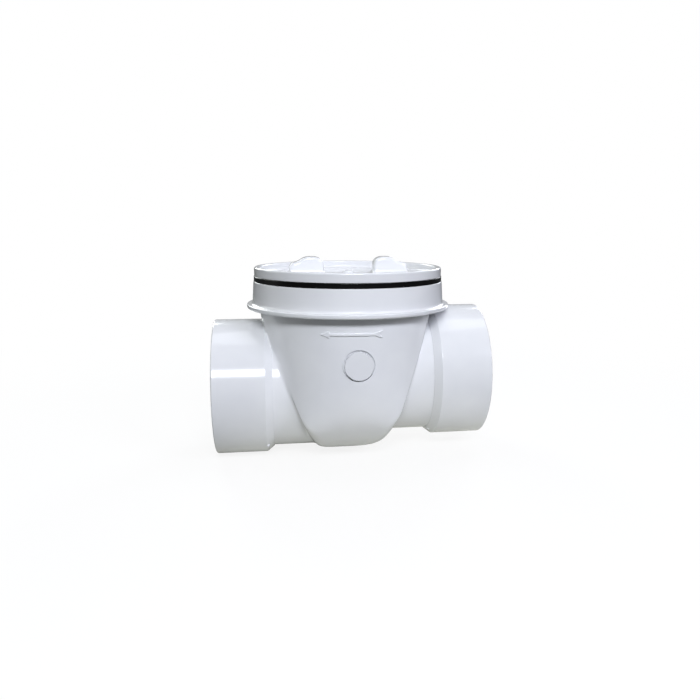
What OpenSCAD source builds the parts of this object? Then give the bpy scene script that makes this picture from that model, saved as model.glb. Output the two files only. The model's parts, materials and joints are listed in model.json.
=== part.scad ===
// Backwater valve for a 4 inch drain: a chamber with a sloping-wall barrel, solvent-welded
// hubs, a screwed access cover on a gasket, and a gravity flapper on a slanted seat.
// Lengths are in millimetres. X runs along the pipe from outlet (-) to inlet (+), Z is up,
// and z = 0 is the lowest line of the outlet hub.

/* [Pipe ends] */
// Bore of the pipe sockets
socket_d = 114.5; // [104:0.5:124]
// Depth of each pipe socket
socket_depth = 44.5; // [38:0.5:48]
// Wall of a hub around its socket
hub_wall = 6.75; // [5.5:0.25:8]
// Width of the ledge that stops the pipe
stop_w = 3.5; // [2:0.5:5]
// Length of neck held in each hub
neck_grip = 5.5; // [4:0.5:8]
// Length of the bevel at the inner end of a hub
bevel_l = 6.5; // [4:0.5:7]
// Height of the ledge that stops the pipe, which leaves the waterway's bore
stop_h = 6.1; // [5.5:0.1:7]
// Distance that the hubs' inner ends are set inside the barrel
hub_set_in = 10.5; // [8:0.5:10.5]
// Wall of the necks
neck_wall = 6.85; // [5:0.05:7.5]
// Fall from the inlet axis to the outlet axis
fall = 11.5; // [8:0.5:12]

/* [Chamber] */
// Room from the flapper's edge to the outside of the round barrel
barrel_room = 26; // [25:0.5:28]
// Amount by which the round belly's radius is larger than the barrel's
belly_step = 4; // [3:0.5:6]
// Step from the barrel in to the spigot that carries the collar
spigot_step = 4; // [3:0.5:4.5]
// Wall of the chamber
chamber_wall = 6; // [4.5:0.25:6.5]
// Height of the chamber's underside above the lowest line of the outlet hub
floor_z = 3; // [1:0.5:5]
// Reach of the outlet wall past the barrel, at the flange
outlet_past = 3; // [2:0.2:5]
// Slope of the outlet wall from the vertical
outlet_slope = 22; // [18:0.5:24]
// Distance of the inlet wall inside the barrel, at the flange
inlet_inside = 11.8; // [10.4:0.2:12.6]
// Slope of the inlet wall from the vertical
inlet_slope = 19.5; // [17:0.5:21]
// Rounding of the lower corner on the outlet side
outlet_corner_r = 12; // [9:1:16]
// Rounding of the lower corner on the inlet side
inlet_corner_r = 26; // [16:1:30]
// Radius of the round pad on the front
pad_r = 14; // [10:0.5:16]
// Drop from the flange to the round pad's centre
pad_drop = 43.5; // [38:0.5:48]
// Length of the flow arrow on the front
arrow_l = 54; // [40:1:60]
// Drop from the flange to the flow arrow's centre line
arrow_drop = 16; // [13:0.5:19]
// Height that the arrow and the pad stand out of the barrel
relief = 0.9; // [0.6:0.1:1.4]

/* [Access collar] */
// Step from the barrel out to the collar
collar_step = 5.5; // [4.5:0.5:8]
// Wall of the collar at the thread
collar_wall = 6.3; // [5:0.1:6.8]
// Height of the collar over the flange's underside
collar_h = 25; // [24:0.5:30]
// Width of the flange round the foot of the collar
flange_w = 6.5; // [5:0.5:10]
// Thickness of the flange at its edge
flange_t = 4; // [3:0.25:5]
// Gap from the top of the inlet hub to the flange's underside
flange_rise = 0.5; // [0.5:0.1:3]
// Height of the chamber's rim inside the collar, above the flange's underside
rim_rise = 7; // [6:0.2:7.5]

/* [Cover] */
// Distance of the cover's edge inside the collar's
cover_inside = 0.9; // [0:0.1:2]
// Height of the cover's rim
cover_rim_h = 8.5; // [7:0.25:11]
// Wall of the cover's rim
cover_rim_wall = 5; // [4:0.25:6]
// Thickness of the cover's floor
cover_floor_t = 5; // [4:0.25:6]
// Depth of the recess in the cover's top
cover_recess = 7; // [5:0.25:8]
// Depth of the screwed skirt below the gasket
skirt_depth = 16; // [12:0.5:16.5]
// Wall of the screwed skirt
skirt_wall = 6; // [4.5:0.25:7]
// Room between the skirt and the collar, which the threads fill
thread_room = 2.5; // [2:0.1:3]
// Thickness of the cover gasket
gasket_t = 4.7; // [3.5:0.1:6]
// Amount by which the squeezed gasket stands out past the cover's edge
gasket_proud = 0.5; // [0:0.1:0.9]
// Distance between the inner faces of the two turning ears
ear_gap = 47.4; // [42:0.2:52]
// Width of the round top of an ear
ear_w = 23; // [19:0.5:26]
// Height of an ear above the rim
ear_rise = 9.2; // [7:0.2:12]
// Thickness of an ear
ear_t = 18; // [12:0.5:22]
// Length of the low shoulder outside an ear
ear_shoulder_l = 9.5; // [6:0.5:12]
// Height of an ear's shoulder above the rim
ear_shoulder_rise = 4.2; // [2:0.2:6]
// Radius of the moulding boss in the middle of the cover
nub_r = 4.8; // [3:0.2:6]
// Height of the moulding boss
nub_h = 3; // [2:0.2:6]

/* [Flapper] */
// Width of the seat ring round the inlet port
seat_w = 6.35; // [5.5:0.05:6.75]
// Thickness of the seat ring
seat_t = 3; // [2:0.25:4]
// Overhang of the flapper plate past the seat ring
flapper_over = 0.5; // [0.1:0.1:1]
// Thickness of the flapper plate
plate_t = 5.9; // [5:0.1:7]
// Height of the ribs on the back of the flapper
rib_h = 5; // [3:0.25:6]
// Width of the ribs on the back of the flapper
rib_w = 5; // [4:0.25:7]
// Thickness of the seal ring
seal_t = 3; // [2.5:0.1:4]
// Thickness of the seal's clamped inner lip
lip_t = 1.5; // [1:0.1:2]
// Distance of the seal ring's edge inside the seat ring's
seal_inside = 0.5; // [0:0.1:1]
// Width of the seal's free face round the clamp plate
seal_face_w = 10; // [9:0.25:12]
// Thickness of the clamp plate outside the seal's lip
clamp_t = 3; // [2.5:0.25:4]
// Width of the seal's lip under the clamp plate
lip_w = 5.5; // [4:0.25:7]
// Number of screws in the clamp plate
clamp_screws_n = 6; // [4:1:8]
// Distance of the clamp screws inside the clamp plate's edge
clamp_screw_inset = 13; // [11:0.5:16]
// Diameter of the clamp screws
screw_d = 4; // [3:0.1:4.5]
// Largest swing of the flapper
open_angle = 70; // [50:1:70]

/* [Hinge] */
// Distance of the hinge axis from the flapper's edge, along the inlet wall
hinge_rise = 8; // [8:0.25:9]
// Distance of the hinge axis from the inlet wall
hinge_in = 11; // [10.5:0.25:12]
// Diameter of the hinge pin
pin_d = 5; // [4:0.25:5.5]
// Radius of the flapper's knuckles
knuckle_r = 6.5; // [6:0.1:6.8]
// Width of a knuckle
knuckle_w = 10; // [8:0.5:10.5]
// Distance from the middle of the valve to a knuckle's inner face
knuckle_y = 9; // [8:0.5:9.5]
// Width of the heel that stops the open flapper
heel_w = 4; // [3:0.25:4.5]
// Wall of the bushes in the knuckles
bush_wall = 1.5; // [1:0.1:2]
// Thickness of a bush's flange
bush_flange_t = 1.2; // [0.8:0.1:1.6]
// Thickness of the hinge bracket's ears
bracket_ear_t = 5; // [4:0.25:5.5]
// Radius of the bracket's ears round the pin
bracket_ear_r = 6.5; // [5.5:0.1:7]
// Thickness of the hinge bracket's foot
bracket_foot_t = 3; // [2.5:0.25:3.5]
// Length of the hinge bracket's foot up the wall
bracket_foot_l = 13; // [12:0.25:13]
// Diameter of the bracket's screws
bracket_screw_d = 3.5; // [3:0.1:3.8]
// Distance of each bracket screw from the middle of the valve
bracket_screw_y = 4.5; // [4.2:0.1:4.8]

/* [Fits] */
// Gap between the closed seal and its seat
seat_gap = 0.1; // [0.05:0.05:0.3]
// Radial clearance of a running pin
running = 0.05; // [0.03:0.01:0.1]
// Gap at the sides of a moving piece
side_gap = 0.8; // [0.5:0.1:1.2]
// Gap left under the heel of the open flapper
stop_gap = 0.3; // [0.1:0.05:0.5]
// Clearance of a screw in its hole
screw_gap = 0.2; // [0.1:0.05:0.4]

/* [Hidden] */
$fn = 96;

// reach of cutting shapes past the solids, and overlap of joined shapes
far = 400;
over = 1;
pvc = [0.91, 0.92, 0.94];
pvc_inner = [0.86, 0.87, 0.90];
rubber = [0.03, 0.03, 0.035];
steel = [0.70, 0.71, 0.73];
acetal = [0.82, 0.80, 0.74];

// pipe ends
socket_r = socket_d / 2;
hub_r = socket_r + hub_wall;
port_r = socket_r - stop_h;
neck_r = port_r + neck_wall;
hub_l = socket_depth + stop_w + neck_grip;
seat_r = port_r + seat_w;
flapper_r = seat_r + flapper_over;
barrel_r = flapper_r + barrel_room;
hub_in_x = barrel_r - hub_set_in;
mouth_x = hub_in_x + hub_l;
neck_end_x = hub_in_x + neck_grip;
lead_in = 1.5;
mouth_round = 1.2;
bevel_lip = 0.9;
bevel_round = 1;
outlet_z = hub_r;
inlet_z = outlet_z + fall;

// chamber
flange_z = inlet_z + hub_r + flange_rise;
rim_z = flange_z + rim_rise;
belly_r = barrel_r + belly_step;
spigot_r = barrel_r - spigot_step;
mouth_z = flange_z - chamber_wall;
outlet_reach = barrel_r + outlet_past;
inlet_reach = barrel_r - inlet_inside;
belly_flat = 1;
corner_steps = 5;
arrow_w = 2.6;
arrow_head_l = 8;
arrow_head_w = 6.5;
arrow_tail_l = 7;
arrow_x = -5;
arrow_z = flange_z - arrow_drop;
pad_x = 1.7;
pad_z = flange_z - pad_drop;

// access collar and cover
collar_r = barrel_r + collar_step;
collar_top = flange_z + collar_h;
flange_r = collar_r + flange_w;
cover_r = collar_r - cover_inside;
gasket_r = cover_r + gasket_proud;
thread_r = collar_r - collar_wall;
flange_edge_round = 1.9;
flange_fillet = 4;
collar_edge_round = 1.2;
skirt_r = thread_r - thread_room;
gasket_z = collar_top;
cover_z = gasket_z + gasket_t;
cover_top = cover_z + cover_rim_h;
cover_floor_z = cover_top - cover_recess;
cover_round = 1.5;
skirt_round = 1;
gasket_slip = 0.4;
gasket_round = 1.4;
recess_round = 3;
ear_round = 4;

// seat, flapper and hinge, measured from the inner face of the inlet wall into the chamber
seat_x = inlet_reach - (flange_z - inlet_z) * tan(inlet_slope) - chamber_wall / cos(inlet_slope);
seal_r = seat_r - seal_inside;
clamp_r = seal_r - seal_face_w;
clamp_circle_r = clamp_r - clamp_screw_inset;
hinge_up = flapper_r + hinge_rise;
seal_in = seat_t + seat_gap;
plate_in = seal_in + seal_t;
plate_back = plate_in + plate_t;
rib_back = plate_back + rib_h;
lip_in = plate_in - lip_t;
clamp_in = lip_in - clamp_t;
clamp_inner_r = clamp_r - lip_w;
clamp_round = 1;
seal_round = 0.7;
ribs_n = 4;
rib_inset = 9;
ring_rib_r = flapper_r - rib_inset;
hub_boss_r = 11;
screw_end_wall = 2;
screw_boss_r = screw_d + over;
head_ratio = 0.95;
head_rise = 0.55;
head_round = 0.45;
screw_tip = 0.7;
screw_bite = plate_t + rib_h - screw_end_wall;
knuckle_far = knuckle_y + knuckle_w;
arm_foot = 24;
pin_r = pin_d / 2;
bush_bore_r = pin_r + running;
bush_r = bush_bore_r + bush_wall;
bush_flange_reach = 1.8;
bush_flange_r = bush_r + bush_flange_reach;
heel_reach = hinge_in - bracket_foot_t - stop_gap;
bracket_y = knuckle_far + bush_flange_t + side_gap;
bracket_half = bracket_y + bracket_ear_t;
bracket_foot_x = hinge_up - bracket_foot_l / 2;
bracket_screw_up = 2.5;
bracket_screw_x = hinge_up + bracket_screw_up;
bracket_screw_skin = 0.6;
bracket_screw_l = bracket_foot_t + chamber_wall - bracket_screw_skin;
clip_t = 1;
clip_reach = 2.4;
clip_r = pin_r + clip_reach;
clip_groove_depth = 0.5;
clip_groove_r = pin_r - clip_groove_depth;
clip_gap = 0.1;
clip_open = 1.5;
clip_mouth = clip_groove_r * clip_open;
clip_y = bracket_half + clip_gap;
pin_end_l = 2;
pin_half = clip_y + clip_t + pin_end_l;

// Outline with rounded corners: points are [x, y, radius], counter-clockwise.
function unit(v) = v / norm(v);
function flat(p) = [p[0], p[1]];
function half_angle(p, a, b) = acos(unit(a - p) * unit(b - p)) / 2;
module outline(points) {
    n = len(points);
    corners = [for (i = [0:n - 1]) let (
        p = flat(points[i]),
        a = flat(points[(i + n - 1) % n]),
        b = flat(points[(i + 1) % n]),
        r = points[i][2],
        half = half_angle(p, a, b)
    ) [p, unit(a - p), unit(b - p), r, half, cross(p - a, b - p) > 0]];
    ends = [for (c = corners) each c[3] > 0
        ? [c[0] + c[1] * c[3] / tan(c[4]), c[0] + c[2] * c[3] / tan(c[4])] : [c[0]]];
    difference() {
        union() {
            polygon(ends);
            for (c = corners) if (c[3] > 0 && c[5]) corner_circle(c);
        }
        for (c = corners) if (c[3] > 0 && !c[5]) corner_circle(c);
    }
}
// Points along the round of a corner, in flat steps
function round_steps(p, a, b, r, steps) = let (
    half = half_angle(p, a, b),
    middle = p + unit(unit(a - p) + unit(b - p)) * r / sin(half),
    start = p + unit(a - p) * r / tan(half) - middle,
    sweep = 180 - 2 * half
) [for (i = [0:steps]) let (t = i * sweep / steps)
    middle + [start[0] * cos(t) - start[1] * sin(t), start[0] * sin(t) + start[1] * cos(t)]];
module corner_circle(c) {
    translate(c[0] + unit(c[1] + c[2]) * c[3] / sin(c[4])) circle(c[3]);
}

// Placing helpers
module along_x() { rotate([0, 90, 0]) children(); }
module facing_y(depth) { rotate([90, 0, 0]) linear_extrude(depth, center = true) children(); }
// Frame of the inlet wall's inner face: x up the wall, y across it, z into the chamber.
module on_seat() { translate([seat_x, 0, inlet_z]) rotate([0, inlet_slope - 90, 0]) children(); }
// The same frame moved to the hinge axis, with z along the axis toward the front.
module on_hinge() { on_seat() at_hinge() children(); }
module at_hinge() { translate([hinge_up, 0, hinge_in]) rotate([90, 0, 0]) children(); }
module front_and_back() { for (side = [0, 1]) mirror([0, side, 0]) children(); }

// Hub with its pipe socket; the mouth is at the origin and the hub runs along +X.
module hub() {
    bore_end = socket_depth + stop_w;
    along_x() rotate_extrude() outline([
        [socket_r + lead_in, 0, 0], [hub_r, 0, mouth_round], [hub_r, hub_l - bevel_l, bevel_round],
        [neck_r + bevel_lip, hub_l, 0], [neck_r, hub_l, 0], [neck_r, bore_end, 0],
        [port_r, bore_end, 0], [port_r, socket_depth, 0], [socket_r, socket_depth, 0],
        [socket_r, lead_in, 0]]);
}

// Room that a hub takes out of the chamber's walls
module hub_room() {
    along_x() rotate_extrude() polygon([
        [0, 0], [hub_r, 0], [hub_r, hub_l - bevel_l], [neck_r + bevel_lip, hub_l], [0, hub_l]]);
}
module at_outlet() { translate([-mouth_x, 0, outlet_z]) children(); }
module at_inlet() { translate([mouth_x, 0, inlet_z]) mirror([1, 0, 0]) children(); }

module outlet_hub() { color(pvc) at_outlet() hub(); }
module inlet_hub() { color(pvc) at_inlet() hub(); }

// Round barrel, given as the child, cut by sloping end walls and a round belly that lie inset
// from the chamber's outside.
module chamber_form(inset, top) {
    low = floor_z + inset;
    belly_z = floor_z + belly_r - belly_flat;
    out_x = inset / cos(outlet_slope) - outlet_reach;
    in_x = inlet_reach - inset / cos(inlet_slope);
    low_out = [out_x + (flange_z - low) * tan(outlet_slope), low];
    low_in = [in_x - (flange_z - low) * tan(inlet_slope), low];
    top_out = [out_x + (flange_z - top) * tan(outlet_slope), top];
    top_in = [in_x - (flange_z - top) * tan(inlet_slope), top];
    intersection() {
        children();
        facing_y(far) polygon(concat(
            round_steps(low_out, top_out, low_in, outlet_corner_r - inset, corner_steps),
            round_steps(low_in, low_out, top_in, inlet_corner_r - inset, corner_steps),
            [top_in, top_out]));
        union() {
            translate([-far / 2, 0, belly_z]) along_x() cylinder(r = belly_r - inset, h = far);
            translate([-far / 2, -far / 2, belly_z]) cube(far);
        }
    }
}

// Hollow of the chamber: full width below the shoulder, then the narrower mouth in the spigot
module chamber_room() {
    wide = barrel_r - chamber_wall;
    mouth = spigot_r - chamber_wall;
    top = rim_z + over;
    chamber_form(chamber_wall, top) rotate_extrude() polygon([
        [0, 0], [wide, 0], [wide, mouth_z], [mouth, mouth_z], [mouth, top], [0, top]]);
}

module flow_arrow() {
    half_l = arrow_l / 2;
    neck_x = arrow_head_l - half_l;
    barb_x = half_l - arrow_tail_l;
    notch_x = half_l - arrow_w;
    side = [[neck_x, arrow_head_w / 2], [neck_x, arrow_w / 2], [barb_x, arrow_w / 2],
        [notch_x, arrow_head_w / 2], [half_l, arrow_head_w / 2]];
    polygon(concat([[-half_l, 0]], side, [[notch_x, 0]],
        [for (i = [len(side) - 1:-1:0]) [side[i][0], -side[i][1]]]));
}

// Raised marks on the front of the barrel
module front_relief() {
    root_y = barrel_r - chamber_wall / 2;
    intersection() {
        translate([arrow_x, -root_y, arrow_z]) rotate([90, 0, 0]) linear_extrude(far) flow_arrow();
        translate([0, 0, flange_z - far]) cylinder(r = barrel_r + relief, h = far);
        translate([-far / 2, -far, 0]) cube([far, far, far]);
    }
    translate([pad_x, 0, pad_z]) rotate([90, 0, 0]) cylinder(r = pad_r, h = barrel_r + relief);
}

module chamber() {
    color(pvc) difference() {
        union() {
            difference() {
                chamber_form(0, flange_z) cylinder(r = barrel_r, h = flange_z);
                at_outlet() hub_room();
                at_inlet() hub_room();
            }
            translate([0, 0, flange_z]) cylinder(r = spigot_r, h = rim_z - flange_z);
            translate([-neck_end_x, 0, outlet_z]) along_x() cylinder(r = neck_r, h = neck_end_x);
            translate([0, 0, inlet_z]) along_x() cylinder(r = neck_r, h = neck_end_x);
            front_relief();
        }
        chamber_room();
        translate([-neck_end_x - over, 0, outlet_z]) along_x() cylinder(r = port_r, h = neck_end_x);
        inlet_port();
        on_seat() bracket_screw_places() translate([0, 0, -bracket_screw_l])
            cylinder(d = bracket_screw_d, h = bracket_screw_l);
    }
}

// Straight waterway of the inlet, from inside the chamber to the end of its neck
module inlet_port() {
    translate([0, 0, inlet_z]) along_x() cylinder(r = port_r, h = neck_end_x + over);
}

// Flat ring round the inlet port that the flapper's seal closes on
module seat_ring() {
    color(pvc_inner) difference() {
        on_seat() cylinder(r = seat_r, h = seat_t);
        inlet_port();
    }
}

module access_collar() {
    color(pvc) rotate_extrude() outline([
        [spigot_r, flange_z, 0], [flange_r, flange_z, flange_edge_round],
        [flange_r, flange_z + flange_t, flange_edge_round],
        [collar_r, flange_z + flange_t, flange_fillet],
        [collar_r, collar_top, collar_edge_round], [thread_r, collar_top, 0],
        [thread_r, rim_z, 0], [spigot_r, rim_z, 0]]);
}

// Half of the ear's outline, from the floor of the recess up
module ear_outline() {
    inner = ear_gap / 2;
    outer = inner + ear_w + ear_shoulder_l;
    base = cover_floor_z - cover_floor_t / 2;
    shoulder = cover_top + ear_shoulder_rise;
    union() {
        outline([[inner, base, 0], [outer, base, 0], [outer, shoulder, ear_round],
            [inner + ear_w / 2, shoulder, 0], [inner, shoulder, 0]]);
        translate([inner + ear_w / 2, cover_top + ear_rise - ear_w / 2]) circle(ear_w / 2);
        translate([inner, base]) square([ear_w, cover_top + ear_rise - ear_w / 2 - base]);
    }
}

module cover() {
    recess_r = cover_r - cover_rim_wall;
    skirt_in = skirt_r - skirt_wall;
    under = cover_floor_z - cover_floor_t;
    color(pvc) union() {
        rotate_extrude() outline([
            [0, under, 0], [skirt_in, under, recess_round],
            [skirt_in, gasket_z - skirt_depth, skirt_round],
            [skirt_r, gasket_z - skirt_depth, skirt_round], [skirt_r, cover_z, 0],
            [cover_r, cover_z, cover_round], [cover_r, cover_top, cover_round],
            [recess_r, cover_top, cover_round], [recess_r, cover_floor_z, recess_round],
            [0, cover_floor_z, 0]]);
        for (side = [0, 1]) mirror([side, 0, 0]) facing_y(ear_t) ear_outline();
        translate([0, 0, cover_floor_z - over]) cylinder(r = nub_r, h = nub_h + over);
    }
}

module cover_gasket() {
    inner = skirt_r + gasket_slip;
    color(rubber) rotate_extrude() outline([
        [inner, gasket_z, 0], [gasket_r, gasket_z, gasket_round],
        [gasket_r, cover_z, gasket_round], [inner, cover_z, 0]]);
}

// Places of the clamp screws on the flapper
module clamp_screw_places() {
    for (i = [0:clamp_screws_n - 1])
        rotate([0, 0, 360 * (i + 0.5) / clamp_screws_n]) translate([clamp_circle_r, 0, 0]) children();
}

// Arm of the flapper, seen from the side: knuckle, web down to the plate, and the heel that
// lands flat on the bracket's foot when the flapper is fully open
module arm_side() {
    foot = ring_rib_r - arm_foot;
    mid = plate_in + plate_t / 2;
    translate([hinge_up, hinge_in]) circle(knuckle_r);
    translate([hinge_up, hinge_in]) rotate(open_angle - 90) square([heel_reach, heel_w]);
    outline([[foot, mid, 0], [flapper_r, mid, 0], [hinge_up, hinge_in - knuckle_r, 0],
        [hinge_up, hinge_in + knuckle_r, 0], [ring_rib_r, rib_back, 0], [foot, rib_back, 0]]);
}

module flapper() {
    color(pvc_inner) on_seat() difference() {
        union() {
            translate([0, 0, plate_in]) cylinder(r = flapper_r, h = plate_t);
            translate([0, 0, plate_in + plate_t / 2]) difference() {
                cylinder(r = ring_rib_r, h = plate_t / 2 + rib_h);
                translate([0, 0, plate_t / 2]) cylinder(r = ring_rib_r - rib_w, h = rib_h + over);
            }
            for (i = [0:ribs_n - 1]) rotate([0, 0, 180 * i / ribs_n])
                translate([over - ring_rib_r, -rib_w / 2, plate_back - over])
                    cube([2 * (ring_rib_r - over), rib_w, rib_h + over]);
            translate([0, 0, plate_back - over]) cylinder(r = hub_boss_r, h = rib_h + 2 * over);
            clamp_screw_places() translate([0, 0, plate_back - over])
                cylinder(r = screw_boss_r, h = rib_h + over);
            front_and_back() translate([0, knuckle_y + knuckle_w / 2, 0]) facing_y(knuckle_w) arm_side();
        }
        at_hinge() cylinder(r = bush_r, h = far, center = true);
        clamp_screw_places() translate([0, 0, plate_in - over])
            cylinder(d = screw_d, h = screw_bite + over);
    }
}

module flapper_seal() {
    color(rubber) on_seat() rotate_extrude() outline([
        [clamp_inner_r + screw_gap, lip_in, 0], [clamp_r + screw_gap, lip_in, 0],
        [clamp_r + screw_gap, seal_in, seal_round], [seal_r, seal_in, seal_round], [seal_r, plate_in, 0],
        [clamp_inner_r + screw_gap, plate_in, 0]]);
}

module seal_clamp_plate() {
    color(pvc_inner) on_seat() difference() {
        rotate_extrude() outline([
            [0, clamp_in, 0], [clamp_r, clamp_in, clamp_round], [clamp_r, lip_in, 0],
            [clamp_inner_r, lip_in, 0], [clamp_inner_r, plate_in, 0], [0, plate_in, 0]]);
        clamp_screw_places() translate([0, 0, clamp_in - over])
            cylinder(d = screw_d + 2 * screw_gap, h = clamp_t + lip_t + 2 * over);
    }
}

// Pan-head screw along -Z with the underside of its head at the origin
module pan_screw(d, length) {
    head_r = d * head_ratio;
    head_h = d * head_rise;
    rotate_extrude() outline([
        [0, -length, 0], [d / 2 - screw_tip, -length, 0], [d / 2, screw_tip - length, 0],
        [d / 2, 0, 0], [head_r, 0, 0], [head_r, head_h, head_h * head_round], [0, head_h, 0]]);
}

module clamp_screws() {
    color(steel) on_seat() clamp_screw_places() translate([0, 0, clamp_in]) mirror([0, 0, 1])
        pan_screw(screw_d, clamp_t + lip_t + screw_bite);
}

module hinge_pin() {
    end_round = 0.8;
    groove_end = clip_y + clip_t + clip_gap;
    groove_start = clip_y - clip_gap;
    color(steel) on_hinge() rotate_extrude() outline([
        [0, -pin_half, 0], [pin_r, -pin_half, end_round], [pin_r, -groove_end, 0],
        [clip_groove_r, -groove_end, 0], [clip_groove_r, -groove_start, 0], [pin_r, -groove_start, 0],
        [pin_r, groove_start, 0], [clip_groove_r, groove_start, 0], [clip_groove_r, groove_end, 0],
        [pin_r, groove_end, 0], [pin_r, pin_half, end_round], [0, pin_half, 0]]);
}

// Flanged bush for the front knuckle, with its flange on the outer face
module hinge_bush() {
    translate([0, 0, knuckle_y]) difference() {
        union() {
            cylinder(r = bush_r, h = knuckle_w);
            translate([0, 0, knuckle_w]) cylinder(r = bush_flange_r, h = bush_flange_t);
        }
        translate([0, 0, -over]) cylinder(r = bush_bore_r, h = knuckle_w + bush_flange_t + 2 * over);
    }
}
module hinge_bush_front() { color(acetal) on_hinge() hinge_bush(); }
module hinge_bush_rear() { color(acetal) on_hinge() mirror([0, 0, 1]) hinge_bush(); }

// Ear of the hinge bracket, seen from the side
module bracket_ear_side() {
    translate([hinge_up, hinge_in]) circle(bracket_ear_r);
    polygon([[bracket_foot_x, 0], [bracket_foot_x + bracket_foot_l, 0],
        [hinge_up + bracket_ear_r, hinge_in], [hinge_up - bracket_ear_r, hinge_in]]);
}

module bracket_screw_places() {
    for (side = [-1, 1])
        translate([bracket_screw_x, side * bracket_screw_y, bracket_foot_t]) children();
}

module hinge_bracket() {
    color(pvc_inner) on_seat() difference() {
        union() {
            translate([bracket_foot_x, -bracket_half, 0])
                cube([bracket_foot_l, 2 * bracket_half, bracket_foot_t]);
            front_and_back() translate([0, bracket_y + bracket_ear_t / 2, 0])
                facing_y(bracket_ear_t) bracket_ear_side();
        }
        at_hinge() cylinder(r = pin_r + running, h = far, center = true);
        bracket_screw_places() translate([0, 0, -bracket_foot_t - over])
            cylinder(d = bracket_screw_d + 2 * screw_gap, h = bracket_foot_t + 2 * over);
    }
}

module bracket_screws() {
    color(steel) on_seat() bracket_screw_places() pan_screw(bracket_screw_d, bracket_screw_l);
}

// Open retaining clips in the grooves at the ends of the hinge pin
module pin_clips() {
    color(steel) on_hinge() for (side = [0, 1]) mirror([0, 0, side]) translate([0, 0, clip_y])
        difference() {
            cylinder(r = clip_r, h = clip_t);
            translate([0, 0, -over]) cylinder(r = clip_groove_r + clip_gap, h = clip_t + 2 * over);
            translate([0, -clip_mouth / 2, -over]) cube([far, clip_mouth, clip_t + 2 * over]);
        }
}

chamber();
inlet_hub();
outlet_hub();
access_collar();
seat_ring();
cover();
cover_gasket();
flapper();
flapper_seal();
seal_clamp_plate();
clamp_screws();
hinge_pin();
hinge_bush_front();
hinge_bush_rear();
hinge_bracket();
bracket_screws();
pin_clips();
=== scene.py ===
import json
import math
import bpy
import numpy as np
from mathutils import Matrix, Vector


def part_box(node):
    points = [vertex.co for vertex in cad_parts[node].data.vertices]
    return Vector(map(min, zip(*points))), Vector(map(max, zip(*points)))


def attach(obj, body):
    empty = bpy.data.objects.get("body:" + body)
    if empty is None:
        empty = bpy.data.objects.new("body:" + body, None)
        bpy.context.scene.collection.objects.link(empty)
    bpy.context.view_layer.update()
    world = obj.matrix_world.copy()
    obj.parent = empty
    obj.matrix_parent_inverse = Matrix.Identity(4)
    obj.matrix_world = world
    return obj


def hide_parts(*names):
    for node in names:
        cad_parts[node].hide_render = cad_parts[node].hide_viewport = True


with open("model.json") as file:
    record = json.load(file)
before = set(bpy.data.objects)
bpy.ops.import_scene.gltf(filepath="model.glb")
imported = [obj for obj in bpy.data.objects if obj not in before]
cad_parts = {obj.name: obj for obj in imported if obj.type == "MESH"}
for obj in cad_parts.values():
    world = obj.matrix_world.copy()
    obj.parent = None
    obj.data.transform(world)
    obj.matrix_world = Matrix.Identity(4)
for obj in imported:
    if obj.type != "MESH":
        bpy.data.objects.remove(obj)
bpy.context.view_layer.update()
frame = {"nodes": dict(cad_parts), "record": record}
mm = 0.001
print("frame loaded")


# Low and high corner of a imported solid, in millimetres
def boxMm(node):
    low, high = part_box(node)
    return np.array(low) / mm, np.array(high) / mm


# Driving sizes, in millimetres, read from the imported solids
outletLow, outletHigh = boxMm("outlet_hub")
inletLow, inletHigh = boxMm("inlet_hub")
chamberLow, chamberHigh = boxMm("chamber")
collarLow, collarHigh = boxMm("access_collar")
gasketLow, gasketHigh = boxMm("cover_gasket")
coverLow, coverHigh = boxMm("cover")
mounts = {m["name"]: m for m in frame["record"]["mounts"]}
outletZ = (outletLow[2] + outletHigh[2]) / 2
inletZ = (inletLow[2] + inletHigh[2]) / 2
hubRadius = (outletHigh[2] - outletLow[2]) / 2
socketRadius = mounts["inlet_socket"]["dims"]["r_mm"]
collarRadius = mounts["riser_collar"]["dims"]["r_mm"]
barrelRadius = chamberHigh[1]
rimZ = chamberHigh[2]
floorZ = chamberLow[2]
flangeZ = collarLow[2]
behaviour = frame["record"]["behaviour"]
hinge = next(j for j in behaviour["joints"] if j["name"] == "flapper_swing")
coverSlide = next(c for c in behaviour["couplings"] if c["joint"] == "cover_rise")

# Sizes that the solids' boxes don't give
shell = {"wall": 6.0, "portRadius": 51.15, "neckRadius": 58.0, "bellyRadius": 88.0, "bellyFlat": 1.0,
         "spigotStep": 4.0, "outletReach": 87.0, "outletSlope": 22.0, "inletReach": 72.2, "inletSlope": 19.5}
spigotRadius = barrelRadius - shell["spigotStep"]
mouthRadius = spigotRadius - shell["wall"]
mouthZ = flangeZ - shell["wall"]

# Fineness of arcs, lathes and skins
kit = {"tiny": 1e-6, "arcSteps": 6, "segments": 192, "windingSample": 7, "pulls": 3, "pullProbe": 0.1,
       "normalProbe": 0.5, "leastSlope": 0.05}


# Adds one piece, drawn in millimetres, that rides on a body and stands for nodes of the part
def addPiece(name, shape, body, slot, *nodes):
    verts, faces, normals = shape
    mesh = bpy.data.meshes.new(name)
    mesh.from_pydata([tuple(v) for v in np.asarray(verts) * mm], [], faces)
    if normals is not None:  # a shape without normals stays flat-faced
        mesh.polygons.foreach_set("use_smooth", [True] * len(mesh.polygons))
        mesh.normals_split_custom_set_from_vertices([tuple(n) for n in normals])
    mesh.materials.append(materials[slot])
    piece = bpy.data.objects.new(name, mesh)
    bpy.context.scene.collection.objects.link(piece)
    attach(piece, body)
    if nodes:
        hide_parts(*nodes)


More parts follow.
